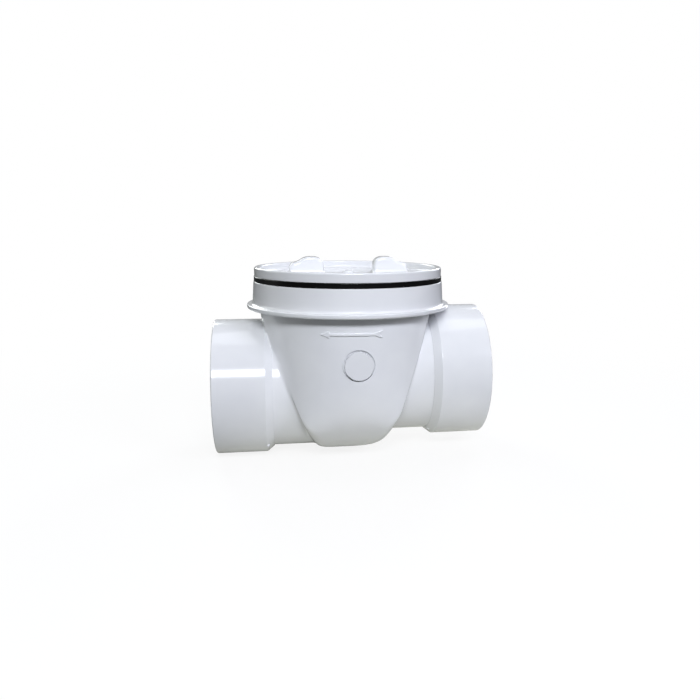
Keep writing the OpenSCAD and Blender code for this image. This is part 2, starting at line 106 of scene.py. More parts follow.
# Closed profile [radius, along, round] with its corners turned into arcs, each point with its normal
def roundedProfile(points, steps=kit["arcSteps"]):
    out = []
    count = len(points)
    area = sum(points[i][0] * points[(i + 1) % count][1] - points[(i + 1) % count][0] * points[i][1]
               for i in range(count))
    turn = 1 if area > 0 else -1
    for i, (r, a, size) in enumerate(points):
        here = np.array([r, a])
        back = np.array(points[i - 1][:2]) - here
        ahead = np.array(points[(i + 1) % count][:2]) - here
        back /= np.linalg.norm(back)
        ahead /= np.linalg.norm(ahead)
        half = math.acos(np.clip(back @ ahead, -1, 1)) / 2
        inward = back + ahead
        if size == 0 or np.linalg.norm(inward) < kit["tiny"]:
            side = turn * np.array([ahead[1], -ahead[0]])
            out.append((r, a, side[0], side[1]))
            continue
        inward /= np.linalg.norm(inward)
        centre = here + inward * size / math.sin(half)
        cross = back[0] * ahead[1] - back[1] * ahead[0]
        convex = cross * turn < 0
        start = here + back * size / math.tan(half) - centre
        sweep = (math.pi - 2 * half) * (1 if cross < 0 else -1)
        for k in range(steps + 1):
            t = sweep * k / steps
            c, s = math.cos(t), math.sin(t)
            spoke = np.array([start[0] * c - start[1] * s, start[0] * s + start[1] * c])
            normal = spoke / size * (1 if convex else -1)
            out.append((*(centre + spoke), *normal))
    return out


# Solid of revolution from a closed profile; place maps (radial x, radial y, along) to the frame
def lathe(profile, place, segments=kit["segments"]):
    verts, normals, faces = [], [], []
    rings = []
    for r, a, nr, na in profile:
        if r < kit["tiny"]:
            rings.append([len(verts)])
            verts.append(place(0, 0, a))
            normals.append(place(0, 0, na, True))
            continue
        rings.append(list(range(len(verts), len(verts) + segments)))
        for k in range(segments):
            t = 2 * math.pi * k / segments
            c, s = math.cos(t), math.sin(t)
            verts.append(place(r * c, r * s, a))
            normals.append(place(nr * c, nr * s, na, True))
    for i, ring in enumerate(rings):
        other = rings[(i + 1) % len(rings)]
        if len(ring) == 1 and len(other) == 1:
            continue
        for k in range(segments):
            quad = [ring[k % len(ring)], other[k % len(other)],
                    other[(k + 1) % len(other)], ring[(k + 1) % len(ring)]]
            faces.append(list(dict.fromkeys(quad)))
    return verts, fixWinding(verts, faces, normals), normals


# Turns all faces over if they look against their normals
def fixWinding(verts, faces, normals):
    v = np.array(verts)
    n = np.array(normals)
    agree = 0.0
    for f in faces[::kit["windingSample"]]:
        p = v[f]
        agree += np.cross(p[1] - p[0], p[2] - p[0]) @ n[f].mean(0)
    return faces if agree > 0 else [f[::-1] for f in faces]


# Blends of distance fields: a rounded outer or inner corner about k wide
def smoothMax(a, b, k):
    h = np.maximum(k - np.abs(a - b), 0) / k
    return np.maximum(a, b) + h * h * k / 4


def smoothMin(a, b, k):
    return -smoothMax(-a, -b, k)


# Steepest rise of a field at some points
def gradient(field, points, probe):
    parts = []
    for axis in range(3):
        step = np.zeros(3)
        step[axis] = probe
        parts.append(field(*(points + step).T) - field(*(points - step).T))
    return np.stack(parts, 1) / (2 * probe)


# Slices that pair each grid point with the next one along an axis
def gridPairs(axis):
    here = [slice(None)] * 3
    ahead = [slice(None)] * 3
    here[axis] = slice(0, -1)
    ahead[axis] = slice(1, None)
    return tuple(here), tuple(ahead)


# One point in each grid cell that the surface crosses, at the mean of the crossings on its edges
def cellPoints(grid, value, inside, step):
    shape = tuple(s - 1 for s in value.shape)
    total = np.zeros(shape + (3,))
    hits = np.zeros(shape)
    for axis in range(3):
        here, ahead = gridPairs(axis)
        crossed = inside[here] != inside[ahead]
        drop = np.where(crossed, value[here] - value[ahead], 1)
        point = np.stack([g[here] for g in grid], -1)
        point[..., axis] += np.where(crossed, value[here] / drop, 0) * step
        others = [k for k in range(3) if k != axis]
        for offsets in ((0, 0), (0, 1), (1, 0), (1, 1)):
            pick = [slice(None)] * 3
            for k, offset in zip(others, offsets):
                pick[k] = slice(offset, value.shape[k] - 1 + offset)
            pick = tuple(pick)
            total += point[pick] * crossed[pick][..., None]
            hits += crossed[pick]
    used = hits > 0
    index = np.full(shape, -1)
    index[used] = np.arange(used.sum())
    return total[used] / hits[used][:, None], index


# Quads that join the four cells round each crossed grid edge
def cellQuads(inside, index):
    unit = np.eye(3, dtype=int)
    quads = []
    for axis in range(3):
        u, w = (axis + 1) % 3, (axis + 2) % 3
        here, ahead = gridPairs(axis)
        crossed = inside[here] != inside[ahead]
        for k in (u, w):
            for end in (slice(0, 1), slice(-1, None)):
                edge = [slice(None)] * 3
                edge[k] = end
                crossed[tuple(edge)] = False
        cells = np.argwhere(crossed)
        corners = [cells - unit[u] - unit[w], cells - unit[w], cells, cells - unit[u]]
        quad = np.stack([index[tuple(c.T)] for c in corners], 1)
        outward = inside[tuple(cells.T)]
        quads.append(np.where(outward[:, None], quad, quad[:, ::-1]))
    return np.concatenate(quads).tolist()


# Quad skin of a distance field, with its points pulled onto the surface and smooth normals
def fieldSkin(field, low, high, step):
    axes = [np.arange(a, b + step, step) for a, b in zip(low, high)]
    grid = np.meshgrid(*axes, indexing="ij")
    value = field(*grid)
    inside = value < 0
    verts, index = cellPoints(grid, value, inside, step)
    for _ in range(kit["pulls"]):
        slope = gradient(field, verts, step * kit["pullProbe"])
        steep = np.maximum((slope * slope).sum(1, keepdims=True), kit["leastSlope"])
        move = field(*verts.T)[:, None] * slope / steep
        verts = verts - np.clip(move, -step / 2, step / 2)
    slope = gradient(field, verts, step * kit["normalProbe"])
    normals = slope / np.maximum(np.linalg.norm(slope, axis=1, keepdims=True), kit["tiny"])
    return verts, cellQuads(inside, index), normals


# Linear colour of an sRGB hex value
def linear(code):
    parts = [int(code[i:i + 2], 16) / 255 for i in (1, 3, 5)]
    return [p / 12.92 if p <= 0.04045 else ((p + 0.055) / 1.055) ** 2.4 for p in parts] + [1.0]


# Adds one node, sets its values and links its inputs
def addNode(tree, kind, settings=None, links=None):
    node = tree.nodes.new(kind)
    for key, value in (settings or {}).items():
        if isinstance(key, int) or key in node.inputs:
            node.inputs[key].default_value = value
        else:
            setattr(node, key, value)
    for key, source in (links or {}).items():
        tree.links.new(source, node.inputs[key])
    return node


# Fineness of the two noises, and the stretch of the broad one over which the tint changes
noise = {"broadDetail": 3.0, "broadRoughness": 0.5, "fineDetail": 4.0, "fineRoughness": 0.6,
         "tintFrom": 0.3, "tintTo": 0.7}


# Principled material whose colour, roughness and relief vary with two noises of real size
def surfaceMaterial(name, look):
    material = bpy.data.materials.new(name)
    material.use_nodes = True
    tree = material.node_tree
    shader = tree.nodes["Principled BSDF"]
    for key, value in look["shader"].items():
        shader.inputs[key].default_value = value
    where = addNode(tree, "ShaderNodeTexCoord").outputs["Object"]
    broad = addNode(tree, "ShaderNodeTexNoise",
                    {"Scale": 1 / (look["broadMm"] * mm), "Detail": noise["broadDetail"],
                     "Roughness": noise["broadRoughness"]}, {"Vector": where})
    fine = addNode(tree, "ShaderNodeTexNoise",
                   {"Scale": 1 / (look["fineMm"] * mm), "Detail": noise["fineDetail"],
                    "Roughness": noise["fineRoughness"]}, {"Vector": where})
    tint = addNode(tree, "ShaderNodeValToRGB", {}, {"Fac": broad.outputs["Fac"]})
    dark, light = tint.color_ramp.elements
    dark.position, light.position = noise["tintFrom"], noise["tintTo"]
    dark.color, light.color = linear(look["dark"]), linear(look["light"])
    tree.links.new(tint.outputs["Color"], shader.inputs["Base Color"])
    gloss = addNode(tree, "ShaderNodeMapRange", {"To Min": look["rough"][0], "To Max": look["rough"][1]},
                    {"Value": fine.outputs["Fac"]})
    tree.links.new(gloss.outputs["Result"], shader.inputs["Roughness"])
    mix = addNode(tree, "ShaderNodeMath", {"operation": "MULTIPLY_ADD", 1: look["broadShare"]},
                  {0: broad.outputs["Fac"], 2: fine.outputs["Fac"]})
    bump = addNode(tree, "ShaderNodeBump", {"Strength": look["bump"], "Distance": look["reliefMm"] * mm},
                   {"Height": mix.outputs["Value"]})
    tree.links.new(bump.outputs["Normal"], shader.inputs["Normal"])
    return material


# Injection-moulded white PVC: glossy, faintly cool, with slow waviness from the mould
whitePvc = surfaceMaterial("injection_moulded_white_pvc", {
    "shader": {"IOR": 1.53}, "dark": "#E7E8EB", "light": "#EDEEF0", "rough": (0.10, 0.17),
    "broadMm": 38, "fineMm": 1.6, "broadShare": 6.0, "bump": 0.25, "reliefMm": 0.02})
# Moulded PVC of the inner pieces: satin and a little greyer from a blasted mould, whose grain of about
# 0.2 mm is drawn coarser so that it shows
satinPvc = surfaceMaterial("satin_moulded_pvc", {
    "shader": {"IOR": 1.53}, "dark": "#D4D6DD", "light": "#DFE1E6", "rough": (0.38, 0.52),
    "broadMm": 22, "fineMm": 0.9, "broadShare": 1.5, "bump": 0.3, "reliefMm": 0.03})
# Moulded black rubber: deep black, smooth from the mould, its 0.2 mm grain drawn coarser so that it shows
blackRubber = surfaceMaterial("moulded_black_rubber", {
    "shader": {"IOR": 1.52}, "dark": "#040404", "light": "#080809", "rough": (0.16, 0.22),
    "broadMm": 12, "fineMm": 0.7, "broadShare": 0.8, "bump": 0.35, "reliefMm": 0.05})
# Turned stainless steel: grey metal with a satin gleam, its tool marks drawn coarser, as a soft mottle
stainlessSteel = surfaceMaterial("turned_stainless_steel", {
    "shader": {"Metallic": 1.0}, "dark": "#A9ABAE", "light": "#C2C4C7", "rough": (0.22, 0.36),
    "broadMm": 6, "fineMm": 0.4, "broadShare": 0.6, "bump": 0.2, "reliefMm": 0.01})
# Turned acetal: waxy off-white with a soft gleam, its tool marks drawn coarser too
turnedAcetal = surfaceMaterial("turned_acetal", {
    "shader": {"IOR": 1.48}, "dark": "#CFCABB", "light": "#D9D4C6", "rough": (0.32, 0.42),
    "broadMm": 5, "fineMm": 0.5, "broadShare": 0.8, "bump": 0.2, "reliefMm": 0.01})
materials = {"pvc_white": whitePvc, "pvc_inner": satinPvc, "rubber": blackRubber,
             "steel": stainlessSteel, "acetal": turnedAcetal}
for part in frame["record"]["subparts"]:
    slots = frame["nodes"][part["node"]].data.materials
    slots.clear()
    slots.append(materials[part["material_slot"]])
print("materials ready")


# Frames for the lathe: axis along X from a hub's mouth inward, or along Z
def hubPlace(mouthX, inward, axisZ):
    def place(u, v, along, isNormal=False):
        if isNormal:
            return (inward * along, u, v)
        return (mouthX + inward * along, u, axisZ + v)
    return place


def uprightPlace(u, v, along, isNormal=False):
    return (u, v, along)


# Pipe hubs: socket with a lead-in, stop ledge, bevelled inner end
hub = {"socketDepth": 44.5, "stopWidth": 3.5, "bevel": 6.5, "bevelLip": 0.9, "leadIn": 1.5, "leadRound": 0.6,
       "mouthRound": 1.3, "bevelRound": 0.9, "edge": 0.3}


def hubProfile():
    length = outletHigh[0] - outletLow[0]
    stopEnd = hub["socketDepth"] + hub["stopWidth"]
    e = hub["edge"]
    return roundedProfile([
        (socketRadius + hub["leadIn"], 0, hub["leadRound"]), (hubRadius, 0, hub["mouthRound"]),
        (hubRadius, length - hub["bevel"], hub["bevelRound"]),
        (shell["neckRadius"] + hub["bevelLip"], length, e), (shell["neckRadius"], length, e),
        (shell["neckRadius"], stopEnd, e), (shell["portRadius"], stopEnd, e),
        (shell["portRadius"], hub["socketDepth"], e), (socketRadius, hub["socketDepth"], e),
        (socketRadius, hub["leadIn"], e)])


hubOutline = hubProfile()
outletHub = lathe(hubOutline, hubPlace(outletLow[0], 1, outletZ))
inletHub = lathe(hubOutline, hubPlace(inletHigh[0], -1, inletZ))
addPiece("outletHub", outletHub, "valve_body", "pvc_white", "outlet_hub")
addPiece("inletHub", inletHub, "valve_body", "pvc_white", "inlet_hub")
print("hubs done")

# Access collar with its flange, a little wider at the foot from the mould's draft
collar = {"wall": 6.3, "flangeThick": 4.0, "noseUnder": 1.8, "noseOver": 0.9, "fillet": 2.4,
          "draft": 1.4, "topEdge": 0.5, "edge": 0.3}
flangeRadius = collarHigh[0]
threadRadius = collarRadius - collar["wall"]
flangeTop = flangeZ + collar["flangeThick"]
collarShape = lathe(roundedProfile([
    (spigotRadius, flangeZ, collar["edge"]), (flangeRadius, flangeZ, collar["noseUnder"]),
    (flangeRadius, flangeTop, collar["noseOver"]),
    (collarRadius + collar["draft"], flangeTop, collar["fillet"]),
    (collarRadius, collarHigh[2], collar["topEdge"]), (threadRadius, collarHigh[2], collar["topEdge"]),
    (threadRadius, rimZ, collar["edge"]), (spigotRadius, rimZ, collar["edge"])]), uprightPlace)
addPiece("accessCollar", collarShape, "valve_body", "pvc_white", "access_collar")

# Gasket ring between collar and cover
gasket = {"slip": 0.4, "edge": 0.4, "innerEdge": 0.3, "threadRoom": 2.5}
skirtRadius = threadRadius - gasket["threadRoom"]
gasketInner = skirtRadius + gasket["slip"]
gasketShape = lathe(roundedProfile([
    (gasketInner, gasketLow[2], gasket["innerEdge"]), (gasketHigh[0], gasketLow[2], gasket["edge"]),
    (gasketHigh[0], gasketHigh[2], gasket["edge"]), (gasketInner, gasketHigh[2], gasket["innerEdge"])]),
    uprightPlace)
addPiece("coverGasket", gasketShape, "cover_seal", "rubber", "cover_gasket")

# Cover: dish with a rim and a screwed skirt
cover = {"rimHeight": 8.5, "rimWall": 5.0, "recess": 7.0, "floorThick": 5.0, "skirtWall": 6.0,
         "round": 1.6, "underRound": 0.5, "recessRound": 3.0, "skirtRound": 1.0, "skirtTop": 0.4}
coverRadius = coverHigh[0]
coverRimTop = gasketHigh[2] + cover["rimHeight"]
coverFloor = coverRimTop - cover["recess"]
coverUnder = coverFloor - cover["floorThick"]
dishShape = lathe(roundedProfile([
    (0, coverUnder, 0), (skirtRadius - cover["skirtWall"], coverUnder, cover["recessRound"]),
    (skirtRadius - cover["skirtWall"], coverLow[2], cover["skirtRound"]),
    (skirtRadius, coverLow[2], cover["skirtRound"]), (skirtRadius, gasketHigh[2], cover["skirtTop"]),
    (coverRadius, gasketHigh[2], cover["underRound"]), (coverRadius, coverRimTop, cover["round"]),
    (coverRadius - cover["rimWall"], coverRimTop, cover["round"]),
    (coverRadius - cover["rimWall"], coverFloor, cover["recessRound"]), (0, coverFloor, 0)]), uprightPlace)
addPiece("coverDish", dishShape, "cover_plug", "pvc_white", "cover")
print("collar, gasket and cover done")

# Turning ears and the moulding boss on the cover, drafted and filleted into its floor
ear = {"gap": 47.4, "width": 23.0, "thick": 18.0, "shoulder": 9.5, "shoulderRise": 4.2, "shoulderRound": 7.0,
       "crownRound": 10.0, "draft": 3.0, "edge": 3.0, "fillet": 5.0, "bossRadius": 4.8, "bossHeight": 3.0,
       "bossEdge": 1.2, "bossFillet": 1.5, "sink": 0.06, "margin": 1.0, "step": 0.7}


def earField(x, y, z):
    across = np.abs(x)
    middle = (ear["gap"] + ear["width"]) / 2
    outer = middle + ear["width"] / 2 + ear["shoulder"]
    lean = math.tan(math.radians(ear["draft"]))
    widen = np.maximum(coverHigh[2] - ear["width"] / 2 - z, 0) * lean
    arch = smoothMax(np.abs(across - middle) - ear["width"] / 2 - widen, z - coverHigh[2], ear["crownRound"])
    top = z - coverRimTop - ear["shoulderRise"]
    shoulder = smoothMax(across - outer - widen, top, ear["shoulderRound"])
    shoulder = np.maximum(shoulder, middle - across)
    side = smoothMin(arch, shoulder, ear["fillet"])
    solid = smoothMax(side, np.abs(y) - ear["thick"] / 2 - (coverHigh[2] - z) * lean / 2, ear["edge"])
    boss = smoothMax(np.hypot(x, y) - ear["bossRadius"], z - coverFloor - ear["bossHeight"], ear["bossEdge"])
    onFloor = smoothMin(solid, z - coverFloor + ear["sink"], ear["fillet"])
    return smoothMin(onFloor, boss, ear["bossFillet"])


earReachX = ear["gap"] / 2 + ear["width"] + ear["shoulder"] + ear["fillet"] * 2
earVerts, earFaces, earNormals = fieldSkin(
    earField, (-earReachX, -ear["thick"], coverFloor - ear["margin"]),
    (earReachX, ear["thick"], coverHigh[2] + ear["margin"]), ear["step"])
# The field's own floor lies just below the dish's and is left off
risen = earVerts[:, 2] > coverFloor - ear["sink"] / 2
earFaces = [f for f in earFaces if risen[f].any()]
addPiece("coverEars", (earVerts, earFaces, earNormals), "cover_plug", "pvc_white")
print("ears done", len(earFaces))

# Chamber skin: barrel, sloping walls and belly with blended edges, necks filleted into it
blend = {"edge": 2.5, "outletCorner": 8.2, "inletCorner": 19.0, "belly": 10.0, "neck": 3.0, "mouth": 1.5,
         "hubSink": 0.06, "lipCover": 1.3, "spigotSink": 0.3, "margin": 3.0, "step": 1.5}
hubEnd = inletLow[0]
neckEnd = inletHigh[0] - hub["socketDepth"] - hub["stopWidth"]


def bucketField(x, y, z, inset):
    slopeOut = math.radians(shell["outletSlope"])
    slopeIn = math.radians(shell["inletSlope"])
    barrel = np.hypot(x, y) - barrelRadius
    wallOut = -(x + shell["outletReach"]) * math.cos(slopeOut) - (z - flangeZ) * math.sin(slopeOut)
    wallIn = (x - shell["inletReach"]) * math.cos(slopeIn) - (z - flangeZ) * math.sin(slopeIn)
    bellyZ = floorZ + shell["bellyRadius"] - shell["bellyFlat"]
    belly = np.hypot(y, np.minimum(z - bellyZ, 0)) - shell["bellyRadius"]
    ends = smoothMax(wallOut, floorZ - z, blend["outletCorner"])
    ends = smoothMax(ends, wallIn, blend["inletCorner"])
    body = smoothMax(barrel, ends, blend["edge"])
    return smoothMax(body, belly, blend["belly"]) + inset


# Neck and the inner end of its hub, a hair inside the hub's own skin; away counts outward from the middle
def pipeField(away, across):
    neck = np.maximum(across - shell["neckRadius"], away - neckEnd)
    lean = (hubRadius - shell["neckRadius"] - hub["bevelLip"]) / hub["bevel"]
    bevel = (across - shell["neckRadius"] - hub["bevelLip"] - (away - hubEnd) * lean) / math.hypot(1, lean)
    ends = np.maximum(hubEnd + blend["lipCover"] - away, away - neckEnd)
    ring = np.maximum(np.maximum(across - hubRadius, bevel), ends)
    return np.maximum(np.minimum(neck, ring + blend["hubSink"]), -away)


def chamberField(x, y, z):
    toOutlet = np.hypot(y, z - outletZ)
    toInlet = np.hypot(y, z - inletZ)
    outer = smoothMin(bucketField(x, y, z, 0), pipeField(-x, toOutlet), blend["neck"])
    outer = smoothMin(outer, pipeField(x, toInlet), blend["neck"])
    outer = np.maximum(outer, z - flangeZ)
    around = np.hypot(x, y)
    spigot = np.maximum(around - spigotRadius, flangeZ - blend["spigotSink"] - z)
    outer = np.maximum(np.minimum(outer, spigot), z - rimZ)
    mouth = np.minimum(around - mouthRadius, z - mouthZ)
    hollow = np.maximum(bucketField(x, y, z, shell["wall"]), mouth)
    hollow = np.minimum(hollow, np.maximum(toOutlet - shell["portRadius"], x))
    hollow = np.minimum(hollow, np.maximum(toInlet - shell["portRadius"], -x))
    return smoothMax(outer, -hollow, blend["mouth"])


# Round pad in a groove on the front; its patch fills the place that the chamber's skin leaves open
pad = {"x": 0.7, "z": 97.9, "radius": 12.6, "height": 0.9, "groove": 1.5, "grooveDepth": 2.2, "edge": 0.25,
       "reach": 18.5, "open": 16.5, "lift": 0.02, "probe": 0.0625, "segments": 144,
       "firstRing": 0.5, "plainTo": 1.0, "plainRings": 12, "fineFrom": 0.9, "fineTo": 0.4, "fineStep": 0.12,
       "skinFrom": 0.6, "skinRings": 6, "searchNear": 1.2, "searchFar": 0.6, "searchRounds": 40}

chamberReach = max(neckEnd, barrelRadius) + blend["margin"]
chamberVerts, chamberFaces, chamberNormals = fieldSkin(
    chamberField, (-chamberReach, -chamberReach, floorZ - blend["margin"]),
    (chamberReach, chamberReach, rimZ + blend["margin"]), blend["step"])
fromPad = np.hypot(chamberVerts[:, 0] - pad["x"], chamberVerts[:, 2] - pad["z"])
underPad = (fromPad < pad["open"]) & (chamberVerts[:, 1] < shell["wall"] / 2 - barrelRadius)
chamberFaces = [f for f in chamberFaces if not underPad[f].all()]
addPiece("chamberShell", (chamberVerts, chamberFaces, chamberNormals), "valve_body", "pvc_white", "chamber")
print("chamber done", len(chamberFaces))


# Depth of the chamber's front skin at a place on it, by halving the way between two depths
def frontSkin(x, z):
    near = np.full(x.shape, -pad["searchNear"] * barrelRadius)
    far = np.full(x.shape, -pad["searchFar"] * barrelRadius)
    for _ in range(pad["searchRounds"]):
        middle = (near + far) / 2
        outside = bucketField(x, middle, z, 0) > 0
        near = np.where(outside, middle, near)
        far = np.where(outside, far, middle)
    return near


# Goes from 0 outside a radius to 1 inside it, over the width of the pad's edge
def softDisc(away, radius):
    t = np.clip((radius - away) / pad["edge"], 0, 1)
    return t * t * (3 - 2 * t)


# Depth of the patch: the skin, sunk in the groove and flat on the pad
def padDepth(x, z):
    away = np.hypot(x - pad["x"], z - pad["z"])
    skin = frontSkin(x, z)
    onPad = softDisc(away, pad["radius"])
    inGroove = softDisc(away, pad["radius"] + pad["groove"])
    depth = skin - pad["lift"] + (pad["grooveDepth"] + pad["lift"]) * inGroove
    return depth + (-barrelRadius - pad["height"] - depth) * onPad


def addPad():
    rim = pad["radius"] + pad["groove"]
    radii = np.concatenate([
        np.linspace(pad["firstRing"], pad["radius"] - pad["plainTo"], pad["plainRings"]),
        np.arange(pad["radius"] - pad["fineFrom"], rim + pad["fineTo"], pad["fineStep"]),
        np.linspace(rim + pad["skinFrom"], pad["reach"], pad["skinRings"])])
    count = pad["segments"]
    angles = np.arange(count) * 2 * math.pi / count
    x = np.concatenate([[pad["x"]], (pad["x"] + np.outer(radii, np.cos(angles))).ravel()])
    z = np.concatenate([[pad["z"]], (pad["z"] + np.outer(radii, np.sin(angles))).ravel()])
    verts = np.stack([x, padDepth(x, z), z], 1)
    probe = pad["probe"]
    tiltX = (padDepth(x + probe, z) - padDepth(x - probe, z)) / (2 * probe)
    tiltZ = (padDepth(x, z + probe) - padDepth(x, z - probe)) / (2 * probe)
    normals = np.stack([tiltX, -np.ones(len(x)), tiltZ], 1)
    normals /= np.linalg.norm(normals, axis=1, keepdims=True)
    faces = [[0, 1 + k, 1 + (k + 1) % count] for k in range(count)]
    for i in range(len(radii) - 1):
        a, b = 1 + i * count, 1 + (i + 1) * count
        faces += [[a + k, b + k, b + (k + 1) % count, a + (k + 1) % count] for k in range(count)]
    addPiece("frontPad", (verts, fixWinding(verts, faces, normals), normals), "valve_body", "pvc_white")


addPad()

# Raised flow arrow on the front of the chamber
arrow = {"height": 1.1, "x": -5.5, "z": 125.5, "length": 54.0, "headLength": 8.0, "headWidth": 6.5,
         "shaftWidth": 2.6, "tailLength": 7.0, "root": 1.2, "edge": 0.8, "step": 0.4,
         "sideRoom": 2.0, "frontRoom": 3.0, "backRoom": 14.0, "heightRoom": 6.0}


# Distance to a closed polygon in the plane
def polygonField(x, z, points):
    best = np.full(x.shape, np.inf)
    sign = np.ones(x.shape)
    for i, (ax, az) in enumerate(points):
        bx, bz = points[i - 1]
        ex, ez = bx - ax, bz - az
        wx, wz = x - ax, z - az
        t = np.clip((wx * ex + wz * ez) / (ex * ex + ez * ez), 0, 1)
        best = np.minimum(best, np.hypot(wx - ex * t, wz - ez * t))
        above = z >= az
        below = z < bz
        left = ex * wz > ez * wx
        flip = (above & below & left) | (~above & ~below & ~left)
        sign = np.where(flip, -sign, sign)
    return sign * best


def arrowPoints():
    half = arrow["length"] / 2
    neck = arrow["headLength"] - half
    tail = half - arrow["tailLength"]
    notch = half - arrow["shaftWidth"]
    w, h = arrow["shaftWidth"] / 2, arrow["headWidth"] / 2
    top = [(neck, h), (neck, w), (tail, w), (notch, h), (half, h)]
    outline = [(-half, 0)] + top + [(notch, 0)] + [(x, -z) for x, z in reversed(top)]
    return [(arrow["x"] + x, arrow["z"] + z) for x, z in outline]


def arrowField(x, y, z):
    skin = bucketField(x, y, z, 0)
    band = np.maximum(skin - arrow["height"], -skin - arrow["root"])
    return smoothMax(polygonField(x, z, arrowPoints()), band, arrow["edge"])


arrowReach = arrow["length"] / 2 + arrow["sideRoom"]
arrowShape = fieldSkin(
    arrowField,
    (arrow["x"] - arrowReach, -barrelRadius - arrow["frontRoom"], arrow["z"] - arrow["heightRoom"]),
    (arrow["x"] + arrowReach, arrow["backRoom"] - barrelRadius, arrow["z"] + arrow["heightRoom"]),
    arrow["step"])
addPiece("flowArrow", arrowShape, "valve_body", "pvc_white")
print("front marks done", len(arrowShape[1]))

# Small gate pips that the mould leaves on the bevels of the hubs
pip = {"radius": 1.9, "height": 0.9, "hole": 0.9, "sink": 0.4, "edge": 0.2, "arcSteps": 3, "segments": 24,
       "outletAngle": -50.0, "outletSetIn": 1.0, "inletAngle": -65.0, "inletSetIn": 4.5}
pipProfile = roundedProfile([
    (pip["hole"], -pip["sink"], 0), (pip["radius"], -pip["sink"], 0),
    (pip["radius"], pip["height"], pip["edge"]), (pip["hole"], pip["height"], pip["edge"])], pip["arcSteps"])


def addPip(name, side, axisZ, angle, setIn):
    t = math.radians(angle)
    outward = Vector((0, -math.cos(t), math.sin(t)))
    rise = hubRadius - shell["neckRadius"] - hub["bevelLip"]
    radius = hubRadius - rise * setIn / hub["bevel"]
    centre = Vector((side * (hubEnd + hub["bevel"] - setIn), 0, axisZ)) + outward * radius
    normal = (outward * hub["bevel"] + Vector((-side * rise, 0, 0))).normalized()
    turn = normal.to_track_quat("Z", "Y").to_matrix()

    def place(u, v, along, isNormal=False):
        spot = turn @ Vector((u, v, along))
        return tuple(spot if isNormal else centre + spot)
    addPiece(name, lathe(pipProfile, place, pip["segments"]), "valve_body", "pvc_white")


addPip("outletPip", -1, outletZ, pip["outletAngle"], pip["outletSetIn"])
addPip("inletPip", 1, inletZ, pip["inletAngle"], pip["inletSetIn"])

# Screw threads: a ridge wound round the cover's skirt, and one in the collar between its turns
thread = {"pitch": coverSlide["ratio"] * 2 * math.pi / mm, "height": 1.7, "footHalf": 1.3, "topHalf": 0.5,
          "root": 0.3, "start": 2.2, "end": 3.4, "taper": 0.12, "endShare": 0.02, "stepsPerTurn": 120}
threadLow = coverLow[2] + thread["start"]
threadHigh = collarHigh[2] - thread["end"]


def addThread(name, radius, outward, phase, body):
    turns = (threadHigh - threadLow) / thread["pitch"]
    count = int(turns * thread["stepsPerTurn"])
    verts, faces = [], []
    for k in range(count + 1):
        t = k / count
        angle = 2 * math.pi * turns * t + phase
        z = threadLow + (threadHigh - threadLow) * t
        grow = min(1.0, t / thread["taper"], (1 - t) / thread["taper"])  # runs out at both ends
        grow = grow * (1 - thread["endShare"]) + thread["endShare"]
        top = radius + outward * thread["height"] * grow
        foot = radius - outward * thread["root"]
        for r, dz in ((foot, -thread["footHalf"]), (top, -thread["topHalf"]),
                      (top, thread["topHalf"]), (foot, thread["footHalf"])):
            verts.append((r * math.cos(angle), r * math.sin(angle), z + dz))
    for k in range(count):
        a, b = 4 * k, 4 * k + 4
        for i in range(4):
            j = (i + 1) % 4
            faces.append([a + i, a + j, b + j, b + i])
    faces.append([3, 2, 1, 0])
    faces.append([4 * count + i for i in range(4)])
    if outward < 0:
        faces = [f[::-1] for f in faces]
    addPiece(name, (verts, faces, None), body, "pvc_white")


addThread("coverThread", skirtRadius, 1, 0.0, "cover_plug")
addThread("collarThread", threadRadius, -1, math.pi, "valve_body")
print("threads done")

# Pan-head screws with a cross recess; local z runs out of the head, the underside of the head at zero
screw = {"diameter": 4.0, "headRatio": 0.95, "headRise": 0.55, "headEdge": 1.0, "dome": 9.0, "slot": 0.5,
         "slotReach": 2.3, "slotDepth": 1.5, "slotEdge": 0.2, "taper": 0.25, "shankIn": 0.2, "shankOut": 1.0,
         "spin": 1.1, "margin": 0.5, "step": 0.16}
# Places on the sloping inlet wall, counted up the wall and into the chamber from the seat's centre
seat = {"slope": shell["inletSlope"], "hingeUp": 66.0, "hingeIn": 11.0, "clampIn": 1.6, "circle": 34.0,
        "screws": 6, "bracketUp": 68.5, "bracketSide": 4.5, "footThick": 3.0, "bracketDiameter": 3.5}
upWall = Vector((math.sin(math.radians(seat["slope"])), 0, math.cos(math.radians(seat["slope"]))))
intoChamber = Vector((-upWall.z, 0, upWall.x))
hingeAt = Vector(hinge["pos_m"]) / mm
seatCentre = hingeAt - upWall * seat["hingeUp"] - intoChamber * seat["hingeIn"]
headRadius = screw["diameter"] * screw["headRatio"]


def headField(x, y, z):
    rise = screw["diameter"] * screw["headRise"]
    dome = np.sqrt(x * x + y * y + (z - rise + screw["dome"]) ** 2) - screw["dome"]
    head = np.maximum(smoothMax(np.hypot(x, y) - headRadius, dome, screw["headEdge"]), -z)
    deep = rise - z
    wide = screw["slot"] - deep * screw["taper"] / 2
    reach = screw["slotReach"] - deep * screw["taper"] * 2
    cross = np.minimum(np.maximum(np.abs(x) - wide, np.abs(y) - reach),
                       np.maximum(np.abs(y) - wide, np.abs(x) - reach))
    cross = np.maximum(cross, deep - screw["slotDepth"])
    ends = np.maximum(z - screw["shankIn"], -z - screw["shankOut"])
    shank = np.maximum(np.hypot(x, y) - screw["diameter"] / 2, ends)
    return np.minimum(smoothMax(head, -cross, screw["slotEdge"]), shank)


headReach = headRadius + screw["margin"]
headVerts, headFaces, headNormals = fieldSkin(
    headField, (-headReach, -headReach, -screw["shankOut"] - screw["margin"]),
    (headReach, headReach, headReach), screw["step"])


